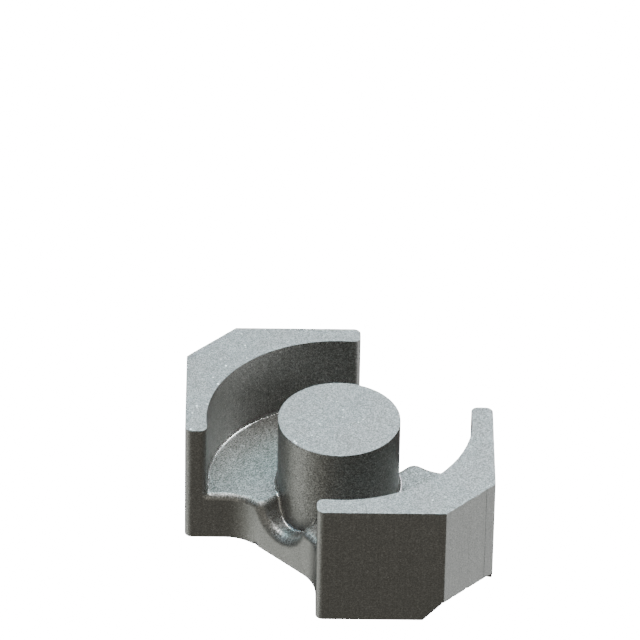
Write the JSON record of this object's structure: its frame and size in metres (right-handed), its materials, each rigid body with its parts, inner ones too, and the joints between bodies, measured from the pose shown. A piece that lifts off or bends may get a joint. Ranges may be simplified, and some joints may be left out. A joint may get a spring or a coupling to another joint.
{
  "type": "rectangular module ferrite core half",
  "caption": "Square ferrite core half with a round coil window, a solid centre post, open wire notches at opposite corners and clip recesses in its back face.",
  "frame": {"origin": "centre of the back face, under the axis of the centre post", "axes": "+X from one clip flat to the other, +Y out through a wire notch, +Z from the back face to the mating face"},
  "size_m": [0.0142, 0.0096, 0.0052],
  "materials": {
    "ferrite": "sintered grey, ground mating face"
  },
  "bodies": {
    "root": {"core_half": "ferrite"}
  },
  "joints": []
}
